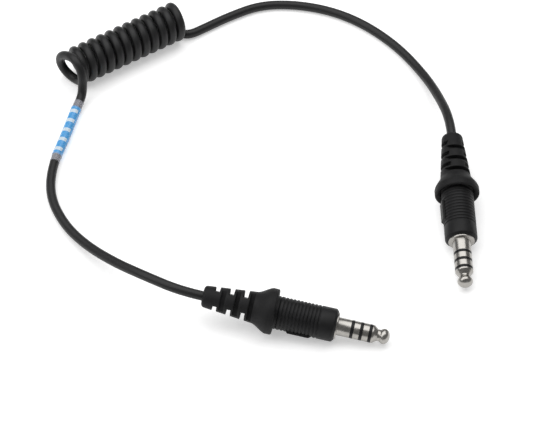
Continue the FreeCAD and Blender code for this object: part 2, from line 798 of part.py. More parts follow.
def check_volume(tube, edges, radius):
    length = sum(edge.Length for edge in edges)
    ratio = tube.Shape.Volume / (math.pi * radius**2 * length)
    print(f"{tube.Name}: volume is {ratio:.4f} of section times length")
    if abs(ratio - 1) > 0.01:
        raise RuntimeError(f"{tube.Name}: the tube isn't as long as its path")


def cut(label, base, tool):
    feature = doc.addObject("Part::Cut", label)
    feature.Base = base
    feature.Tool = tool
    feature.Label = label
    return feature


def make_coil():
    """The coil's outer shape: a fat tube whose underside touches the surface."""
    heading = math.radians(value("coil_heading"))
    along = Vector(math.cos(heading), math.sin(heading), 0)
    start = Vector(value("coil_start_x"), value("coil_start_y"), value("coil_radius"))
    body = new_body("cord_coil")
    section = new_sketch(body, "XY_Plane")
    add_circle(section, cell("coil_radius"))
    add_circle(section, cell("coil_hole"))
    pad(body, section, cell("coil_length"))
    body.Placement = Placement(start, Rotation(Vector(0, 0, 1), along))
    return body, start, along


def boot_exit(tag):
    """Where the cord leaves a boot, and the direction in which it leaves."""
    place = plug_placement(tag)
    cup_face = value("grip_front") - value(f"boot_exposure_{tag}")
    rear = cup_face - value("boot_length")
    point = place.multVec(Vector(0, 0, rear))
    return point, place.Rotation.multVec(Vector(0, 0, -1))


coil, coil_start, coil_along = make_coil()
exit_a, backward_a = boot_exit("a")
exit_b, backward_b = boot_exit("b")
straight = value("cord_straight")

route_a = [exit_a, exit_a + backward_a * straight] + ROUTE_A
toward_viewer = Vector(coil_along.y, -coil_along.x, 0)
coil_end = coil_start + coil_along * (value("coil_length") + value("coil_clearance"))
start_b = coil_end + toward_viewer * CORD_B_OFFSET
start_b.z = CORD_B_HEIGHT
route_b = [start_b] + ROUTE_B + [exit_b + backward_b * straight, exit_b]

edges_a = cord_edges("cord_a", route_a)
edges_b = cord_edges("cord_b", route_b)
cord_a = make_tube("cord_a", edges_a, cell("cord_radius"))
cord_b = make_tube("cord_b", edges_b, cell("cord_radius"))
cord_a.Label = "cord_a"
cord_b.Label = "cord_b"

# The band's distances are measured from the coil, which is where route A ends.
length_a = sum(edge.Length for edge in edges_a)
band_near = length_a - value("band_start")
band_far = band_near - value("band_length")
margin = value("band_margin")
band_radius = cell("cord_radius") + cell("band_wall")
band_edges = stretch(edges_a, band_far, band_near)
sleeve_edges = stretch(edges_a, band_far - margin, band_near + margin)
band_bar = make_tube("band_bar", band_edges, band_radius)
sleeve_bar = make_tube("sleeve_bar", sleeve_edges, band_radius + cell("band_sleeve_wall"))
printed_band = cut("printed_band", band_bar, cord_a)
hollow_sleeve = cut("sleeve_over_cord", sleeve_bar, cord_a)
band_sleeve = cut("band_sleeve", hollow_sleeve, band_bar)

subparts = make_plug("a") + make_plug("b")
subparts += [cord_a, coil, cord_b, printed_band, band_sleeve]

doc.recompute()
for thing in doc.Objects:
    if "Invalid" in thing.State or "Error" in thing.State:
        raise RuntimeError(f"{thing.Label} failed: {thing.State}")
check_volume(cord_a, edges_a, value("cord_radius"))
check_volume(cord_b, edges_b, value("cord_radius"))
for piece in subparts:
    if piece.Shape.isNull() or not piece.Shape.isValid():
        raise RuntimeError(f"{piece.Label} has no valid shape")

os.makedirs("parts", exist_ok=True)
for piece in subparts:
    piece.Shape.exportStep(f"parts/{piece.Label}.step")
print(f"{len(subparts)} sub-parts written")
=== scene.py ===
import json
import math

import bpy
import numpy as np
from mathutils import Matrix, Vector


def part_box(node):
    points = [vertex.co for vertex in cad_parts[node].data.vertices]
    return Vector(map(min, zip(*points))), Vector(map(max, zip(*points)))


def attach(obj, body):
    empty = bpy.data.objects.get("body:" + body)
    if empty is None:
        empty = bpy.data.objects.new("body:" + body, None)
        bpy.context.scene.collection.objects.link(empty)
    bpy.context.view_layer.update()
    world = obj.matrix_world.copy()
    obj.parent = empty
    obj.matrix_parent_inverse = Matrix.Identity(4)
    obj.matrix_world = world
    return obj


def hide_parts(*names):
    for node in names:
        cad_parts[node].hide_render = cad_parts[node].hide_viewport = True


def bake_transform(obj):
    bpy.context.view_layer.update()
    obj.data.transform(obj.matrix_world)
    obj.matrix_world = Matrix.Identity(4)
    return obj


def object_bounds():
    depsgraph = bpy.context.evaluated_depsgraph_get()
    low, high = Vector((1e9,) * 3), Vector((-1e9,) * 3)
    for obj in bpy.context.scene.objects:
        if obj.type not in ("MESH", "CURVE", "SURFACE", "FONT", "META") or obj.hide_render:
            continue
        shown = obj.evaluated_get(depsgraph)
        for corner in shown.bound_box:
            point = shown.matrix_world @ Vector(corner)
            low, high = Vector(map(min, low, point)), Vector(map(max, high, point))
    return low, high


# A coiled headset extension lead: one cord that is curly in the middle, a four-pole jack plug
# on each end and a printed band near the coil. Metres; the plugs' own sizes are in millimetres.

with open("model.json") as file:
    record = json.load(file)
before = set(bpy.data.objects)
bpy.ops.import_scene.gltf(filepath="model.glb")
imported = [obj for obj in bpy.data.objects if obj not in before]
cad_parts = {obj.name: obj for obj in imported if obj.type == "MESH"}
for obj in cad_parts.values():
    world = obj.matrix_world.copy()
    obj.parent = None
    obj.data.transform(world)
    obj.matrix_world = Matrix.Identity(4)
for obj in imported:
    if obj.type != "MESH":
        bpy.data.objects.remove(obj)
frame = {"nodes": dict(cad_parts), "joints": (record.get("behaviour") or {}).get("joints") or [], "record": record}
cad_low, cad_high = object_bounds()
MM = 0.001
MOUNTS = {mount["name"]: mount for mount in frame["record"]["mounts"]}
JOINTS = {joint["name"]: joint for joint in frame["joints"]}

# ---------------------------------------------------------------------------------------
# Sizes
# ---------------------------------------------------------------------------------------
CORD_RADIUS = 0.001925
CORD_STRAIGHT = 0.009  # first run of the cord, straight out of a boot
CORD_SIDES = 24
CORD_STEP = 0.0007  # from one ring of the cord's skin to the next

COIL_TURN_RADIUS = 0.006525  # from the coil's axis to the middle of the cord
COIL_PITCH = 0.00432
COIL_TURNS = 12.625
COIL_LEAD = 0.0011  # the helix starts this far along the coil
COIL_POINTS = 16  # points of the route in each turn
COIL_FIRST_POINT = 6  # the helix starts this many points into its first turn
LOOP_SPLAY = 0.0021  # the first loop's far side leans out of the coil by this much

# The cord's route where it isn't coiled. It starts in plug A's boot and ends in plug B's.
ROUTE_A = [
    (-0.0775, -0.0230, 0.0120),
    (-0.0900, -0.0130, 0.0080),
    (-0.1020, -0.0010, 0.0040),
    (-0.1115, 0.0110, 0.0026),
    (-0.1180, 0.0260, 0.0025),
    (-0.1180, 0.0420, 0.0025),
    (-0.1135, 0.0580, 0.0025),
    (-0.1100, 0.0730, 0.0025),
    (-0.1076, 0.0800, 0.0036),
    (-0.1072, 0.0829, 0.0080),
    (-0.1072, 0.0840, 0.0122),
    (-0.1084, 0.0864, 0.0153),
    (-0.1102, 0.0885, 0.0165),
    (-0.1118, 0.0904, 0.0163),
    (-0.1141, 0.0930, 0.0147),
]
ROUTE_B = [
    (-0.0673, 0.1182, 0.00195),
    (-0.0630, 0.1176, 0.00195),
    (-0.0560, 0.1222, 0.00195),
    (-0.0465, 0.1285, 0.00195),
    (-0.0330, 0.1355, 0.00195),
    (-0.0170, 0.1358, 0.00195),
    (-0.0010, 0.1315, 0.00195),
    (0.0130, 0.1230, 0.00195),
    (0.0260, 0.1100, 0.00195),
    (0.0355, 0.0945, 0.0028),
    (0.0410, 0.0790, 0.0065),
]

BAND_REFERENCE = (-0.1075, 0.0860, 0.0055)  # where the cord comes up to the coil
BAND_FROM_COIL = 0.011  # printed band from there, along the cord
BAND_LENGTH = 0.027
BAND_WALL = 0.000225
SLEEVE_WALL = 0.00025
SLEEVE_MARGIN = 0.0035  # clear sleeve beyond each end of the printed band
SLEEVE_GAP = 0.00002
BAND_ROWS = 2  # rows of pale bars round the band
BAND_BARS = 5  # bars along each row
ARM_A_LIMIT = 0.165  # the band is looked for no farther along the cord than this
EDGE_POINTINESS = (0.52, 0.62)  # from where to where an edge counts as worn

# Plug, in millimetres. Stations run along the plug from the grip's front face, + to the tip.
FINGER = 3.57
COLLAR = 5.25
COLLAR_FRONT = 0.5
COLLAR_BACK = -0.6
SHANK = 4.6
SHANK_BACK = -9.0
SLEEVE_END = 5.7
INSULATOR = 1.15
RING = 2.4
TUBE_RADII = (0.75, 1.15, 1.55, 1.95, 2.35)
SLEEVE_BORE = 2.9
ROD_BACK = -12.0
TIP_LAND = 0.8
TIP_CONE = 1.5
NECK = 2.3
BALL_CENTRE = 4.8
BALL_RADIUS = 3.05
BALL_HALF_LENGTH = 2.3
EDGE_BREAK = 0.07  # chamfer where two contacts meet
BALL_STEPS = 20

GRIP = 6.5
GRIP_LENGTH = 25.6
SPIGOT = 5.0
SPIGOT_LENGTH = 4.4
COLLAR_SEAT = 5.35
COLLAR_SEAT_BACK = -0.7
THREAD_BORE = 4.65
THREAD_BACK = -9.5
GRIP_BORE = 5.2
GRIP_BORE_BACK = -24.6
GRIP_BACK_BORE = 3.8
RIB_FIRST = 6.6
RIB_PITCH = 1.42
RIB_COUNT = 11
GROOVE_WIDTH = 0.6
GROOVE_DEPTH = 0.3
WING_FACE = 7.05
WING_ANGLE = 1.5 * math.pi  # the strip lies on the grip's -Y side
WING_HALF_WIDTH = 1.9
WING_START = 8.6
WING_LENGTH = 10.2
WING_RAMP = 1.0
WING_SINK = 0.4  # the strip's ends start this far inside the grip
FRONT_TAPER = 0.9
FRONT_LIP = 0.2
REAR_GROOVE = 22.5
REAR_GROOVE_WIDTH = 0.5

EXPOSURE = {"a": 23.9, "b": 21.9}  # grip in front of the boot
CUP = 9.0
CUP_RIM = 3.6
CUP_CONE = 4.6
CUP_RECESS = 6.8
CUP_RECESS_DEPTH = 4.0
CUP_DISH = 0.7  # the cup's face slopes in by this much
CUP_ROUND = 0.7  # rounding of the cup's rim
CUP_NECK_STEPS = 14
SPIGOT_SEAT_DEPTH = 8.4
SPIGOT_SEAT = 5.05
RELIEF_FRONT = 6.2
RELIEF_REAR = 4.2
BOOT_LENGTH = 28.8
BOOT_BORE = 2.25
BOOT_REAR_ROUND = 1.2
ROUND_STEPS = 6  # rows of a rounded edge
SLOT_WIDTH = 1.8
SLOT_PITCH = 5.6
SLOT_COUNT = 3
SLOT_FIRST = 9.6
SLOT_STAGGER = 2.7
SPINE_HALF = 2.9
SLOT_EDGE = 0.16  # rounding of a slot's edge

GRIP_ROLL = {"a": 38.0, "b": -8.0}  # degrees about the plug
BOOT_ROLL = {"a": 40.0, "b": -12.0}


# ---------------------------------------------------------------------------------------
# Camera
# ---------------------------------------------------------------------------------------
CAMERA_ELEVATION = math.radians(50)
CAMERA_DISTANCE = 0.957
CAMERA_TARGET = Vector((-0.0288, 0.0169, 0.0))
CAMERA_LENS = 158.2  # millimetres, for a film 36 mm wide


def make_camera():
    data = bpy.data.cameras.new("camera")
    data.lens = CAMERA_LENS
    data.sensor_width = 36
    data.sensor_fit = "HORIZONTAL"
    data.clip_start = 0.01
    camera = bpy.data.objects.new("camera", data)
    bpy.context.scene.collection.objects.link(camera)
    back = Vector((0, -math.cos(CAMERA_ELEVATION), math.sin(CAMERA_ELEVATION)))
    camera.location = CAMERA_TARGET + back * CAMERA_DISTANCE
    camera.rotation_euler = (math.pi / 2 - CAMERA_ELEVATION, 0, 0)
    bpy.context.scene.camera = camera


# ---------------------------------------------------------------------------------------
# Node helpers
# ---------------------------------------------------------------------------------------
class Shader:
    """A Principled material and short ways to add the nodes that this object needs."""

    def __init__(self, name, color, roughness, metallic=0.0, specular=0.5):
        self.material = bpy.data.materials.new(name)
        self.material.use_nodes = True
        self.tree = self.material.node_tree
        self.surface = self.tree.nodes["Principled BSDF"]
        self.surface.inputs["Base Color"].default_value = (*color, 1)
        self.surface.inputs["Roughness"].default_value = roughness
        self.surface.inputs["Metallic"].default_value = metallic
        self.surface.inputs["Specular IOR Level"].default_value = specular

    def node(self, kind, **settings):
        made = self.tree.nodes.new(kind)
        for key, value in settings.items():
            setattr(made, key, value)
        return made

    def link(self, source, target):
        self.tree.links.new(source, target)

    def feed(self, target, value):
        """Sets a socket to a number or a colour, or links another socket to it."""
        if isinstance(value, bpy.types.NodeSocket):
            self.link(value, target)
        else:
            target.default_value = value

    def place(self, output="Object", scale=(1, 1, 1)):
        """Texture coordinates, stretched along each axis."""
        coordinates = self.node("ShaderNodeTexCoord")
        mapping = self.node("ShaderNodeMapping")
        mapping.inputs["Scale"].default_value = scale
        self.link(coordinates.outputs[output], mapping.inputs["Vector"])
        return mapping.outputs["Vector"]

    def noise(self, place, scale, detail=3.0, roughness=0.55):
        texture = self.node("ShaderNodeTexNoise")
        texture.inputs["Scale"].default_value = scale
        texture.inputs["Detail"].default_value = detail
        texture.inputs["Roughness"].default_value = roughness
        self.link(place, texture.inputs["Vector"])
        return texture.outputs["Fac"]

    def spread(self, value, low, high, to_low, to_high):
        """Maps a range of a value to another range, and stays inside it."""
        mapped = self.node("ShaderNodeMapRange")
        self.link(value, mapped.inputs["Value"])
        mapped.inputs["From Min"].default_value = low
        mapped.inputs["From Max"].default_value = high
        mapped.inputs["To Min"].default_value = to_low
        mapped.inputs["To Max"].default_value = to_high
        return mapped.outputs["Result"]

    def math(self, operation, first, second=0.0):
        made = self.node("ShaderNodeMath", operation=operation)
        self.feed(made.inputs[0], first)
        self.feed(made.inputs[1], second)
        return made.outputs[0]

    def mix(self, first, share, second):
        """The sum of a share of the first value and the rest of the second."""
        kept = self.math("MULTIPLY", first, share)
        return self.math("ADD", kept, self.math("MULTIPLY", second, 1 - share))

    def blend(self, share, first, second):
        """A colour between two colours."""
        made = self.node("ShaderNodeMix", data_type="RGBA")
        self.feed(made.inputs["Factor"], share)
        for name, value in (("A", first), ("B", second)):
            target = [s for s in made.inputs if s.name == name and s.type == "RGBA"][0]
            self.feed(target, value if isinstance(value, bpy.types.NodeSocket) else (*value, 1))
        return [s for s in made.outputs if s.type == "RGBA"][0]

    def edges(self):
        """1 on a convex edge, 0 elsewhere."""
        geometry = self.node("ShaderNodeNewGeometry")
        return self.spread(geometry.outputs["Pointiness"], *EDGE_POINTINESS, 0, 1)

    def uv(self):
        """How far round a tube and how far along it, each from 0 to 1."""
        coordinates = self.node("ShaderNodeTexCoord")
        split = self.node("ShaderNodeSeparateXYZ")
        self.link(coordinates.outputs["UV"], split.inputs["Vector"])
        return split.outputs["X"], split.outputs["Y"]

    def color(self, value):
        self.link(value, self.surface.inputs["Base Color"])

    def rough(self, value):
        self.link(value, self.surface.inputs["Roughness"])

    def bump(self, height, depth, strength=1.0, below=None):
        """Adds relief of this depth in metres, on top of earlier relief."""
        made = self.node("ShaderNodeBump")
        made.inputs["Strength"].default_value = strength
        made.inputs["Distance"].default_value = depth
        self.link(height, made.inputs["Height"])
        if below is not None:
            self.link(below, made.inputs["Normal"])
        self.link(made.outputs["Normal"], self.surface.inputs["Normal"])
        return made.outputs["Normal"]


# ---------------------------------------------------------------------------------------
# Materials
# ---------------------------------------------------------------------------------------
def jacket_material():
    """Smooth satin cord jacket, with faint lines along it from the die and a little dust."""
    shader = Shader("cord_jacket", (0.012, 0.012, 0.013), 0.34, specular=0.3)
    place = shader.place()
    cloud = shader.noise(place, 260, 3)
    grain = shader.noise(place, 4200, 2)
    along = shader.noise(shader.place("UV", (46, 30, 1)), 1.0, 2)
    shader.color(shader.blend(cloud, (0.009, 0.009, 0.0095), (0.016, 0.016, 0.0165)))
    shader.rough(shader.spread(shader.mix(cloud, 0.6, along), 0.3, 0.7, 0.36, 0.5))
    relief = shader.bump(along, 0.00003, 0.35)
    shader.bump(grain, 0.00002, 0.5, relief)
    return shader.material


def jacket_end_material():
    """The same jacket where it lies inside the boot."""
    shader = Shader("cord_jacket_end", (0.012, 0.012, 0.013), 0.45, specular=0.13)
    place = shader.place()
    cloud = shader.noise(place, 260, 3)
    shader.color(shader.blend(cloud, (0.009, 0.009, 0.0095), (0.016, 0.016, 0.0165)))
    shader.bump(shader.noise(place, 4200, 2), 0.00002, 0.5)
    return shader.material


def rubber_material():
    """Matt moulded rubber: fine grain, a bloom in patches, edges rubbed a little lighter."""
    shader = Shader("boot_rubber", (0.009, 0.009, 0.0095), 0.5, specular=0.2)
    place = shader.place()
    cloud = shader.noise(place, 320, 4)
    grain = shader.noise(place, 5200, 3, 0.6)
    body = shader.blend(cloud, (0.006, 0.006, 0.0065), (0.012, 0.012, 0.0125))
    worn = shader.math("MULTIPLY", shader.edges(), shader.spread(cloud, 0.4, 0.65, 0.2, 0.8))
    shader.color(shader.blend(worn, body, (0.03, 0.03, 0.031)))
    shader.rough(shader.spread(cloud, 0.3, 0.7, 0.52, 0.68))
    shader.bump(grain, 0.00004, 0.6)
    return shader.material


def grip_material():
    """Satin moulded plastic with a fine spark-eroded grain."""
    shader = Shader("grip_plastic", (0.008, 0.008, 0.0085), 0.4, specular=0.2)
    place = shader.place()
    cloud = shader.noise(place, 420, 3)
    grain = shader.noise(place, 6500, 2, 0.6)
    body = shader.blend(cloud, (0.006, 0.006, 0.0065), (0.011, 0.011, 0.0115))
    worn = shader.math("MULTIPLY", shader.edges(), shader.spread(cloud, 0.4, 0.65, 0.15, 0.7))
    shader.color(shader.blend(worn, body, (0.028, 0.028, 0.029)))
    shader.rough(shader.spread(cloud, 0.3, 0.7, 0.42, 0.56))
    shader.bump(grain, 0.00003, 0.5)
    return shader.material


def nickel_material():
    """Nickel plate over turned brass: rings from the lathe, and fine scuffs along the finger."""
    shader = Shader("nickel_plate", (0.36, 0.347, 0.326), 0.26, metallic=1.0)
    turned = shader.noise(shader.place(scale=(40, 40, 9000)), 1.0, 3)
    scuffs = shader.noise(shader.place(scale=(5200, 5200, 420)), 1.0, 3)
    cloud = shader.noise(shader.place(), 500, 3)
    shader.color(shader.blend(cloud, (0.3, 0.288, 0.268), (0.42, 0.406, 0.384)))
    shader.rough(shader.spread(shader.mix(scuffs, 0.6, cloud), 0.35, 0.65, 0.2, 0.34))
    relief = shader.bump(turned, 0.000012, 0.35)
    shader.bump(scuffs, 0.00001, 0.35, relief)
    return shader.material


def insulator_material():
    """Black insulating rings between the contacts, turned flush with them."""
    shader = Shader("contact_insulator", (0.01, 0.01, 0.011), 0.34, specular=0.15)
    turned = shader.noise(shader.place(scale=(40, 40, 9000)), 1.0, 3)
    cloud = shader.noise(shader.place(), 900, 3)
    shader.color(shader.blend(cloud, (0.008, 0.008, 0.009), (0.018, 0.018, 0.019)))
    shader.rough(shader.spread(cloud, 0.3, 0.7, 0.26, 0.4))
    shader.bump(turned, 0.00002, 0.5)
    return shader.material


def terminal_material():
    shader = Shader("terminal_plastic", (0.16, 0.07, 0.03), 0.5)
    fibre = shader.noise(shader.place(scale=(900, 900, 5000)), 1.0, 4)
    shader.color(shader.blend(fibre, (0.1, 0.04, 0.018), (0.22, 0.1, 0.045)))
    shader.bump(fibre, 0.00003, 0.4)
    return shader.material


def brass_material():
    shader = Shader("lug_brass", (0.78, 0.6, 0.32), 0.35, metallic=1.0)
    place = shader.place()
    tarnish = shader.noise(place, 1400, 4)
    shader.color(shader.blend(tarnish, (0.6, 0.42, 0.2), (0.86, 0.68, 0.38)))
    shader.rough(shader.spread(tarnish, 0.3, 0.7, 0.28, 0.5))
    return shader.material


def wire_material():
    shader = Shader("core_insulation", (0.55, 0.06, 0.04), 0.45)
    place = shader.place()
    tint = shader.noise(place, 700, 2)
    shader.color(shader.blend(tint, (0.42, 0.03, 0.02), (0.62, 0.08, 0.05)))
    shader.bump(shader.noise(place, 5000, 2), 0.00001, 0.5)
    return shader.material


def clamp_material():
    shader = Shader("clamp_steel", (0.6, 0.6, 0.6), 0.35, metallic=1.0)
    brushed = shader.noise(shader.place(scale=(400, 400, 7000)), 1.0, 3)
    shader.color(shader.blend(brushed, (0.5, 0.5, 0.5), (0.68, 0.68, 0.67)))
    shader.rough(shader.spread(brushed, 0.3, 0.7, 0.28, 0.45))
    return shader.material


def band_material():
    """Blue printed film: plain pale bars in two rows, and a pale line along one side."""
    shader = Shader("band_print", (0.02, 0.32, 0.75), 0.3)
    around, along = shader.uv()

    def within(value, middle, reach):
        """1 where a value is this near to a middle, 0 elsewhere."""
        gap = shader.math("ABSOLUTE", shader.math("SUBTRACT", value, middle))
        return shader.math("LESS_THAN", gap, reach)

    def repeated(value, times):
        return shader.math("FRACT", shader.math("MULTIPLY", value, times))

    wide = within(repeated(around, BAND_ROWS), 0.5, 0.28)
    tall = within(repeated(along, BAND_BARS), 0.5, 0.17)
    bar = shader.math("MULTIPLY", wide, tall)
    marks = shader.math("MAXIMUM", bar, within(around, 0.02, 0.02))
    ink = shader.noise(shader.place(), 1500, 2)
    blue = shader.blend(ink, (0.01, 0.3, 0.68), (0.018, 0.35, 0.76))
    shader.color(shader.blend(marks, blue, (0.62, 0.74, 0.82)))
    shader.rough(shader.spread(ink, 0.3, 0.7, 0.24, 0.36))
    return shader.material


def sleeve_material():
    """Clear heat-shrunk sleeve: milky at its ends, where it grips the cord."""
    shader = Shader("clear_sleeve", (0.62, 0.62, 0.68), 0.16)
    along = shader.uv()[1]
    from_middle = shader.math("ABSOLUTE", shader.math("SUBTRACT", along, 0.5))
    haze = shader.spread(from_middle, 0.37, 0.41, 0.06, 0.24)
    cloud = shader.noise(shader.place(), 900, 3)
    shader.color(shader.blend(cloud, (0.5, 0.5, 0.56), (0.72, 0.72, 0.78)))
    shader.link(haze, shader.surface.inputs["Alpha"])
    shader.bump(cloud, 0.00004, 0.4)
    return shader.material


def floor_material():
    shader = Shader("floor", (0.86, 0.86, 0.86), 0.9)
    paper = shader.noise(shader.place(), 60, 2)
    shader.color(shader.blend(paper, (0.85, 0.85, 0.85), (0.87, 0.87, 0.87)))
    shader.surface.inputs["Emission Color"].default_value = (1, 1, 1, 1)
    shader.surface.inputs["Emission Strength"].default_value = 0.4
    return shader.material


# ---------------------------------------------------------------------------------------
# Mesh helpers
# ---------------------------------------------------------------------------------------
def new_object(name, vertices, faces, material, sharp_degrees=35):
    mesh = bpy.data.meshes.new(name)
    mesh.from_pydata([tuple(v) for v in vertices], [], faces)
    mesh.validate()
    mesh.materials.append(material)
    mesh.polygons.foreach_set("use_smooth", [True] * len(mesh.polygons))
    mesh.set_sharp_from_angle(angle=math.radians(sharp_degrees))
    made = bpy.data.objects.new(name, mesh)
    bpy.context.scene.collection.objects.link(made)
    return made


def ring_faces(first, second, count):
    """Quads between two rings of vertices that start at these indices."""
    return [
        (first + k, first + (k + 1) % count, second + (k + 1) % count, second + k)
        for k in range(count)
    ]


def even_angles(count):
    return [2 * math.pi * k / count for k in range(count)]


def eased(share):
    """A share from 0 to 1 that starts and ends level."""
    return share * share * (3 - 2 * share)


def lathe(name, rows, material, angles=None, shape=None):
    """A closed form round the plug's axis: rows of (radius, station) in millimetres.

    It closes on the axis where the first and last rows have no radius, and on itself
    elsewhere. shape(row number, angle, radius) can change the radius round a row.
    """
    angles = angles or even_angles(96)
    count = len(angles)
    on_axis = rows[0][0] == 0
    body = rows[1:-1] if on_axis else rows
    vertices = []
    for number, (radius, station) in enumerate(body):
        for angle in angles:
            here = shape(number, angle, radius) if shape else radius
            point = Vector((here * math.cos(angle), here * math.sin(angle), station))
            vertices.append(point * MM)
    faces = []
    for number in range(len(body) - 1):
        faces += ring_faces(number * count, (number + 1) * count, count)
    if on_axis:
        for row, ring, step in ((rows[0], 0, -1), (rows[-1], len(body) - 1, 1)):
            pole = len(vertices)
            vertices.append(Vector((0, 0, row[1])) * MM)
            for k in range(count):
                pair = (ring * count + k, ring * count + (k + 1) % count)
                faces.append((pole, *(pair if step > 0 else pair[::-1])))
    else:
        faces += ring_faces((len(body) - 1) * count, 0, count)
    return new_object(name, vertices, faces, material)


# ---------------------------------------------------------------------------------------
# Cord
# ---------------------------------------------------------------------------------------
def plug_matrix(tag, roll=0.0):
    """Where a plug lies: its own Z runs to the tip, from the middle of the grip's face."""
    mount = MOUNTS[f"plug_{tag}_finger"]
    axis = Vector(mount["axis"]).normalized()
    back = (COLLAR_FRONT + mount["dims"]["length_mm"] / 2) * MM
    origin = Vector(mount["pos_m"]) - axis * back
    side = Vector((0, 0, 1)).cross(axis).normalized()
    down = side.cross(axis)
    turn = Matrix((down, side, axis)).transposed().to_4x4()
    return Matrix.Translation(origin) @ turn @ Matrix.Rotation(math.radians(roll), 4, "Z")


def boot_exit(tag):
    """Where the cord leaves a boot, and the way it leaves."""
    matrix = plug_matrix(tag)
    rear = -(EXPOSURE[tag] + BOOT_LENGTH) * MM
    backward = matrix.to_3x3() @ Vector((0, 0, -1))
    return matrix @ Vector((0, 0, rear)), backward


def coil_frame():
    """The coil's start, its axis, and the level direction across it to the far side."""
    along = Vector(JOINTS["coil_stretch"]["axis"]).normalized()
    across = Vector((-along.y, along.x, 0))
    low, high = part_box("cord_coil")
    middle = (low + high) / 2
    height = (high.z - low.z) / 2
    length = ((high.x - low.x) - 2 * height * abs(across.x)) / along.x
    return middle - along * length / 2, along, across


def helix_points():
    """The coil's turns, as points of the cord's route."""
    start, along, across = coil_frame()
    # A route's smooth line runs inside its points, so they stand out by this much.
    inside = 0.75 + 0.25 * math.cos(2 * math.pi / COIL_POINTS)
    radius = COIL_TURN_RADIUS / inside
    points = []
    for number in range(COIL_FIRST_POINT, round(COIL_TURNS * COIL_POINTS) + 1):
        turns = number / COIL_POINTS
        angle = 2 * math.pi * turns
        outward = -across * math.cos(angle) + Vector((0, 0, 1)) * math.sin(angle)
        lean = math.sin(math.pi * min(max((turns - 0.2) / 0.65, 0), 1)) ** 2
        station = COIL_LEAD + COIL_PITCH * turns - LOOP_SPLAY * lean
        points.append(start + along * station + outward * radius)
    return points


def smooth_line(points):
    """Points along the NURBS curve that has these control points."""
    curve = bpy.data.curves.new("route", "CURVE")
    curve.dimensions = "3D"
    curve.resolution_u = 24
    spline = curve.splines.new("NURBS")
    spline.points.add(len(points) - 1)
    for control, point in zip(spline.points, points):
        control.co = (*point, 1)
    spline.order_u = 3
    spline.use_endpoint_u = True
    holder = bpy.data.objects.new("route", curve)
    bpy.context.scene.collection.objects.link(holder)
    bpy.context.view_layer.update()
    mesh = bpy.data.meshes.new_from_object(holder)
    line = np.array([v.co for v in mesh.vertices])
    bpy.data.objects.remove(holder)
    bpy.data.curves.remove(curve)
    bpy.data.meshes.remove(mesh)
    return line


def distances(line):
    steps = np.linalg.norm(np.diff(line, axis=0), axis=1)
    return np.concatenate([[0], np.cumsum(steps)])


def sample(line, low, high, step):
    """Evenly spaced points along a line, between two distances along it."""
    reach = distances(line)
    count = max(2, round((high - low) / step) + 1)
    wanted = np.linspace(low, high, count)
    return np.stack([np.interp(wanted, reach, line[:, axis]) for axis in range(3)], axis=1)


def line_frames(path):
    """For each point of a path, two directions across it that don't twist along it."""
    tangents = np.gradient(path, axis=0)
    tangents /= np.linalg.norm(tangents, axis=1)[:, None]
    across = np.cross(tangents[0], (0, 0, 1))
    across /= np.linalg.norm(across)
    frames = []
    for tangent in tangents:
        across = across - tangent * (across @ tangent)
        across /= np.linalg.norm(across)
        frames.append((across, np.cross(tangent, across)))
    return frames


def add_uv(piece, rings, sides, rows=None):
    """UV map of a tube: U round it, V along it, from 0 to 1."""
    layer = piece.data.uv_layers.new(name="UVMap")
    for polygon in piece.data.polygons:
        places = []
        for index in polygon.vertices:
            ring, side = divmod(index, sides)
            places.append([side / sides, (rows[ring] if rows else ring / (rings - 1))])
        if max(p[0] for p in places) - min(p[0] for p in places) > 0.5:
            for place in places:
                place[0] += 1.0 if place[0] < 0.5 else 0.0
        for loop, place in zip(polygon.loop_indices, places):
            layer.data[loop].uv = place


def solid_tube(name, path, radius, material, sides):
    """A round bar along a path, with flat ends."""
    frames = line_frames(path)
    vertices = []
    for point, (right, up) in zip(path, frames):
        for angle in even_angles(sides):
            vertices.append(point + (right * math.cos(angle) + up * math.sin(angle)) * radius)
    faces = []
    for ring in range(len(path) - 1):
        faces += ring_faces(ring * sides, (ring + 1) * sides, sides)
    last = (len(path) - 1) * sides
    faces.append(tuple(reversed(range(sides))))
    faces.append(tuple(range(last, last + sides)))
    piece = new_object(name, vertices, faces, material, 50)
    add_uv(piece, len(path), sides)
    return piece


def hollow_tube(name, path, outer, inner, material, sides):
    """A tube along a path: outer and inner give the radius at each of its points."""
    frames = line_frames(path)
    vertices = []
    count = len(path)
    order = list(range(count)) + list(reversed(range(count)))
    radii = list(outer) + list(reversed(inner))
    for index, radius in zip(order, radii):
        right, up = frames[index]
        for angle in even_angles(sides):
            outward = right * math.cos(angle) + up * math.sin(angle)
            vertices.append(path[index] + outward * radius)
    faces = []
    for ring in range(2 * count - 1):
        faces += ring_faces(ring * sides, (ring + 1) * sides, sides)
    faces += ring_faces((2 * count - 1) * sides, 0, sides)
    piece = new_object(name, vertices, faces, material, 50)
    add_uv(piece, 2 * count, sides, [index / (count - 1) for index in order])
    return piece


def nearest_distance(line, point, limit=None):
    """How far along the line its nearest point to this one is, up to a distance along it."""
    reach = distances(line)
    gaps = np.linalg.norm(line - np.array(point), axis=1)
    if limit is not None:
        gaps[reach > limit] = np.inf
    return reach[np.argmin(gaps)]


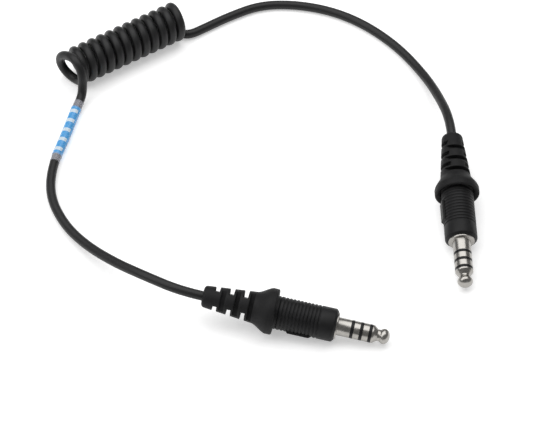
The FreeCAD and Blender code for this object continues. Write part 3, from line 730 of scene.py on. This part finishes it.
def make_cord():
    """The whole cord as one tube, coiled where the real lead stretches, and the band and sleeve on it."""
    exit_a, backward_a = boot_exit("a")
    exit_b, backward_b = boot_exit("b")
    arm_a = [exit_a, exit_a + backward_a * CORD_STRAIGHT] + [Vector(p) for p in ROUTE_A]
    coil = helix_points()
    arm_b = [Vector(p) for p in ROUTE_B] + [exit_b + backward_b * CORD_STRAIGHT, exit_b]
    line = smooth_line(arm_a + coil + arm_b)
    length = distances(line)[-1]
    path = sample(line, 0, length, CORD_STEP)

    cord = solid_tube("cord", path, CORD_RADIUS, jacket_material(), CORD_SIDES)
    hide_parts("cord_a", "cord_coil", "cord_b")
    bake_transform(cord)
    coil_start = nearest_distance(path, coil[0])
    coil_end = nearest_distance(path, coil[-1])

    arm_end = nearest_distance(path, BAND_REFERENCE, ARM_A_LIMIT)
    near = arm_end - BAND_FROM_COIL
    far = near - BAND_LENGTH
    band = make_band(sample(path, far, near, CORD_STEP))
    sleeve = make_sleeve(sample(path, far - SLEEVE_MARGIN, near + SLEEVE_MARGIN, CORD_STEP))
    for piece in (band, sleeve):
        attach(piece, "plug_a_side")


def make_band(path):
    inner = [CORD_RADIUS] * len(path)
    outer = [CORD_RADIUS + BAND_WALL] * len(path)
    band = hollow_tube("printed_band_film", path, outer, inner, band_material(), 32)
    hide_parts("printed_band")
    return band


def make_sleeve(path):
    """The clear sleeve, which steps down from the printed band to the cord at each end."""
    reach = distances(path)
    from_end = np.minimum(reach, reach[-1] - reach)
    step = np.clip((from_end - SLEEVE_MARGIN * 0.7) / (SLEEVE_MARGIN * 0.3), 0, 1)
    inner = CORD_RADIUS + SLEEVE_GAP + BAND_WALL * eased(step)
    outer = inner + SLEEVE_WALL - SLEEVE_GAP
    sleeve = hollow_tube("clear_band_sleeve", path, list(outer), list(inner), sleeve_material(), 32)
    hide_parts("band_sleeve")
    return sleeve


# ---------------------------------------------------------------------------------------
# Plugs
# ---------------------------------------------------------------------------------------
def contact_stations():
    """Where each insulator starts, and where the tip contact starts."""
    first = SLEEVE_END
    second = first + INSULATOR + RING
    third = second + INSULATOR + RING
    return first, second, third, third + INSULATOR


def nested_rows(inner, outer, low, high):
    """A tube down the plug that widens into a disc between two stations."""
    edge = EDGE_BREAK
    return [
        (inner, SHANK_BACK),
        (outer, SHANK_BACK),
        (outer, low),
        (FINGER - edge, low),
        (FINGER, low + edge),
        (FINGER, high - edge),
        (FINGER - edge, high),
        (inner, high),
    ]


def tip_rows():
    """Rod, land, cone, neck and ball of the tip contact, from its rear end to its nose."""
    start = contact_stations()[3]
    edge = EDGE_BREAK
    rows = [(0, ROD_BACK), (TUBE_RADII[0], ROD_BACK), (TUBE_RADII[0], start)]
    rows += [(FINGER - edge, start), (FINGER, start + edge), (FINGER, start + TIP_LAND - 0.15)]
    rows.append((FINGER - 0.1, start + TIP_LAND))
    cone_end = start + TIP_LAND + TIP_CONE
    rows.append((NECK + 0.12, cone_end - 0.15))
    rows.append((NECK, cone_end))
    centre = start + BALL_CENTRE
    meeting = -math.sqrt(1 - (NECK / BALL_RADIUS) ** 2) * BALL_HALF_LENGTH
    rows.append((NECK, centre + meeting - 0.12))
    first = math.asin((meeting + 0.1) / BALL_HALF_LENGTH)
    for step in range(BALL_STEPS):
        angle = first + (math.pi / 2 - first) * step / BALL_STEPS
        rows.append((BALL_RADIUS * math.cos(angle), centre + BALL_HALF_LENGTH * math.sin(angle)))
    rows.append((0, centre + BALL_HALF_LENGTH))
    return rows


def sleeve_rows():
    """Threaded shank, collar and bare sleeve, turned in one."""
    edge = EDGE_BREAK
    return [
        (SLEEVE_BORE, SHANK_BACK),
        (SHANK, SHANK_BACK),
        (SHANK, COLLAR_BACK),
        (COLLAR, COLLAR_BACK),
        (COLLAR, COLLAR_FRONT - 0.2),
        (COLLAR - 0.06, COLLAR_FRONT - 0.06),
        (COLLAR - 0.2, COLLAR_FRONT),
        (FINGER + 0.3, COLLAR_FRONT),
        (FINGER + 0.08, COLLAR_FRONT + 0.08),
        (FINGER, COLLAR_FRONT + 0.3),
        (FINGER, SLEEVE_END - edge),
        (FINGER - edge, SLEEVE_END),
        (SLEEVE_BORE, SLEEVE_END),
    ]


def make_finger(tag, metal, insulator):
    """The contacts and insulators of a plug's finger, each a piece of its own."""
    first, second, third, tip = contact_stations()
    r = TUBE_RADII
    turned = {
        "tip_contact": (tip_rows(), metal, "nickel_plate"),
        "tip_insulator": (nested_rows(r[0], r[1], third, tip), insulator, "contact_insulator"),
        "front_ring": (nested_rows(r[1], r[2], second + INSULATOR, third), metal, "nickel_plate"),
        "ring_insulator": (
            nested_rows(r[2], r[3], second, second + INSULATOR),
            insulator,
            "contact_insulator",
        ),
        "rear_ring": (nested_rows(r[3], r[4], first + INSULATOR, second), metal, "nickel_plate"),
        "sleeve_insulator": (insulating_tube_rows(first), insulator, "contact_insulator"),
        "sleeve_contact": (sleeve_rows(), metal, "nickel_plate"),
    }
    for node, (rows, material, slot) in turned.items():
        piece = lathe(f"turned_{node}_{tag}", rows, material)
        piece.matrix_world = plug_matrix(tag)
        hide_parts(f"{node}_{tag}")
        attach(piece, f"plug_{tag}_side")


def insulating_tube_rows(low):
    """Insulating tube inside the sleeve, with the black band in front of it."""
    edge = EDGE_BREAK
    high = low + INSULATOR
    return [
        (TUBE_RADII[4], SHANK_BACK),
        (SLEEVE_BORE, SHANK_BACK),
        (SLEEVE_BORE, low),
        (FINGER - edge, low),
        (FINGER, low + edge),
        (FINGER, high - edge),
        (FINGER - edge, high),
        (TUBE_RADII[4], high),
    ]


def grip_rows():
    """Outline of the grip: outside from the back to the front, then its inside."""
    step = -GRIP_LENGTH
    rows = [(GRIP_BACK_BORE, step - SPIGOT_LENGTH), (SPIGOT, step - SPIGOT_LENGTH)]
    rows += [(SPIGOT, step), (GRIP - 0.2, step), (GRIP, step + 0.2)]
    grooves = [(REAR_GROOVE, REAR_GROOVE_WIDTH)]
    grooves += [(RIB_FIRST + rib * RIB_PITCH, GROOVE_WIDTH) for rib in reversed(range(RIB_COUNT))]
    for start, width in grooves:
        top = -start
        low = top - width
        rows += [
            (GRIP, low - 0.14),
            (GRIP - 0.03, low - 0.03),
            (GRIP - 0.16, low + 0.06),
            (GRIP - 0.26, low + 0.16),
            (GRIP - GROOVE_DEPTH, (low + top) / 2),
            (GRIP - 0.26, top - 0.16),
            (GRIP - 0.16, top - 0.06),
            (GRIP - 0.03, top + 0.03),
            (GRIP, top + 0.14),
        ]
    face = COLLAR_SEAT + FRONT_LIP
    rows += [(GRIP, -FRONT_TAPER - 0.25), (GRIP - 0.04, -FRONT_TAPER - 0.05)]
    rows += [(GRIP - 0.12, -FRONT_TAPER + 0.15), (face + 0.1, -0.12), (face, -0.03)]
    rows += [(face - 0.08, 0), (COLLAR_SEAT, 0), (COLLAR_SEAT, COLLAR_SEAT_BACK)]
    rows += [(THREAD_BORE, COLLAR_SEAT_BACK), (THREAD_BORE, THREAD_BACK)]
    rows += [(GRIP_BORE, THREAD_BACK), (GRIP_BORE, GRIP_BORE_BACK)]
    rows.append((GRIP_BACK_BORE, GRIP_BORE_BACK))
    return rows


def grip_angles():
    """Angles of the grip's columns, with some on the edges of its raised strip."""
    base = math.asin(WING_HALF_WIDTH / GRIP)
    top = math.atan(WING_HALF_WIDTH / WING_FACE)
    angles = {a for a in even_angles(120) if not base + 0.03 > abs(a - WING_ANGLE) > top - 0.04}
    for edge in (base + 0.012, base, top + 0.008, top - 0.012):
        angles |= {WING_ANGLE - edge, WING_ANGLE + edge}
    return sorted(angles)


def wing_height(station):
    """How far the strip's face stands from the plug's middle plane, at a station."""
    front, back = -WING_START, -WING_START - WING_LENGTH
    inside = min(front - station, station - back)
    rise = max(0.0, min(1.0, inside / WING_RAMP))
    start = GRIP - WING_SINK
    return start + (WING_FACE - start) * eased(rise) if inside > 0 else 0.0


def make_grip(tag, material):
    rows = grip_rows()
    top = math.atan(WING_HALF_WIDTH / WING_FACE)

    def with_strip(number, angle, radius):
        from_strip = abs(angle - WING_ANGLE)
        height = wing_height(rows[number][1])
        if from_strip > top + 0.01 or radius < SPIGOT + 0.5 or height == 0:
            return radius
        rim = 0.05 if from_strip > top else 0.0
        return max(radius, (height - rim) / math.cos(from_strip))

    piece = lathe(f"ribbed_grip_{tag}", rows, material, grip_angles(), with_strip)
    piece.matrix_world = plug_matrix(tag, GRIP_ROLL[tag])
    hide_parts(f"grip_shell_{tag}")
    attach(piece, f"grip_{tag}")


def relief_radius(depth):
    """Outer radius of the boot's tapered strain relief, this far behind the cup's face."""
    start = CUP_RIM + CUP_CONE
    share = (depth - start) / (BOOT_LENGTH - start)
    return RELIEF_FRONT + (RELIEF_REAR - RELIEF_FRONT) * share


def slot_rows():
    """Depths, radii and slot sides of the strain relief's rows, from front to back."""
    slots = []
    for number in range(SLOT_COUNT):
        depth = SLOT_FIRST + number * SLOT_PITCH
        slots += [(depth, "x"), (depth + SLOT_STAGGER, "y")]
    rows = []
    for depth, side in slots:
        front, back = depth - SLOT_WIDTH / 2, depth + SLOT_WIDTH / 2
        rows += [
            (front - SLOT_EDGE, None, 0),
            (front - SLOT_EDGE * 0.3, side, 0.3),
            (front, side, 1),
            (front + 0.02, side, None),
            (back - 0.02, side, None),
            (back, side, 1),
            (back + SLOT_EDGE * 0.3, side, 0.3),
            (back + SLOT_EDGE, None, 0),
        ]
    return rows


def make_boot(tag, material):
    """Rubber boot: dished cup, smooth neck and slotted strain relief, hollow for the cord."""
    face = -EXPOSURE[tag]
    rows = []
    cuts = []

    def add(radius, depth, side=None, sink=0):
        rows.append((radius, face - depth))
        cuts.append((side, sink))

    add(CUP_RECESS, CUP_RECESS_DEPTH)
    add(CUP_RECESS, CUP_DISH + 0.2)
    add(CUP_RECESS + 0.2, CUP_DISH)
    add(CUP - 0.9, 0.12)
    for step in range(1, ROUND_STEPS + 1):
        angle = math.pi / 2 * step / ROUND_STEPS
        inside = CUP - CUP_ROUND
        add(inside + CUP_ROUND * math.sin(angle), CUP_ROUND * (1 - math.cos(angle)))
    neck = CUP_RIM - 1.0
    add(CUP, neck)
    for step in range(1, CUP_NECK_STEPS + 1):
        share = step / CUP_NECK_STEPS
        smooth = eased(share) * 0.55 + share * 0.45
        add(CUP + (RELIEF_FRONT - CUP) * smooth, neck + (CUP_CONE + 1.0) * share)
    for depth, side, sink in slot_rows():
        add(relief_radius(depth), depth, side, sink)
    for step in range(ROUND_STEPS + 1):
        angle = math.pi / 2 * step / ROUND_STEPS
        back = BOOT_LENGTH - BOOT_REAR_ROUND * (1 - math.sin(angle))
        add(relief_radius(back) - BOOT_REAR_ROUND * (1 - math.cos(angle)), back)
    add(BOOT_BORE + 0.1, BOOT_LENGTH)
    add(BOOT_BORE, BOOT_LENGTH - 0.15)
    add(BOOT_BORE, SPIGOT_SEAT_DEPTH)
    add(SPIGOT_SEAT, SPIGOT_SEAT_DEPTH)
    add(SPIGOT_SEAT, CUP_RECESS_DEPTH)

    def with_slots(number, angle, radius):
        side, sink = cuts[number]
        if side is None:
            return radius
        slope = abs(math.cos(angle) if side == "x" else math.sin(angle))
        floor = SPINE_HALF / max(slope, 1e-6)
        if sink is None:
            return min(radius, floor)
        return max(min(radius, floor), radius - SLOT_EDGE * sink)

    piece = lathe(f"boot_{tag}", rows, material, even_angles(168), with_slots)
    piece.matrix_world = plug_matrix(tag, BOOT_ROLL[tag])
    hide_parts(f"strain_relief_boot_{tag}")
    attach(piece, f"boot_{tag}")


# ---------------------------------------------------------------------------------------
# CAD nodes that stay, floor and light
# ---------------------------------------------------------------------------------------
def finish_inner_parts():
    """Materials of the CAD nodes inside the grips and boots, which stay as they are."""
    finishes = {
        "terminal_block": terminal_material(),
        "core_wires": wire_material(),
        "cord_clamp": clamp_material(),
        "cord_end": jacket_end_material(),
    }
    brass = brass_material()
    finishes["solder_lugs"] = brass
    finishes["lug_rivets"] = brass
    for tag in "ab":
        for node, material in finishes.items():
            mesh = frame["nodes"][f"{node}_{tag}"].data
            mesh.materials.clear()
            mesh.materials.append(material)


def make_floor():
    half = 3.0
    corners = [(-half, -half, 0), (half, -half, 0), (half, half, 0), (-half, half, 0)]
    floor = new_object("floor", corners, [(0, 1, 2, 3)], floor_material())


def add_light(name, place, target, size, watts):
    data = bpy.data.lights.new(name, "AREA")
    data.shape = "RECTANGLE"
    data.size, data.size_y = size
    data.energy = watts
    light = bpy.data.objects.new(name, data)
    bpy.context.scene.collection.objects.link(light)
    light.location = place
    toward = Vector(target) - Vector(place)
    light.rotation_euler = toward.to_track_quat("-Z", "Y").to_euler()


def make_light():
    """A very wide softbox overhead, a smaller one at the left, and a low grey surround."""
    middle = (cad_low + cad_high) / 2
    add_light("overhead", middle + Vector((-0.1, 0.3, 1.2)), middle, (2.0, 1.5), 19)
    add_light("left", middle + Vector((-1.0, -0.3, 0.8)), middle, (0.8, 0.6), 3.5)
    world = bpy.data.worlds.new("world")
    bpy.context.scene.world = world
    world.use_nodes = True
    background = world.node_tree.nodes["Background"]
    background.inputs["Color"].default_value = (1, 1, 1, 1)
    background.inputs["Strength"].default_value = 0.22


make_camera()
make_cord()
nickel = nickel_material()
black_insulator = insulator_material()
grip_plastic = grip_material()
boot_rubber = rubber_material()
for plug in "ab":
    make_finger(plug, nickel, black_insulator)
    make_grip(plug, grip_plastic)
    make_boot(plug, boot_rubber)
finish_inner_parts()
make_floor()
make_light()
bpy.context.scene.view_settings.view_transform = "Standard"
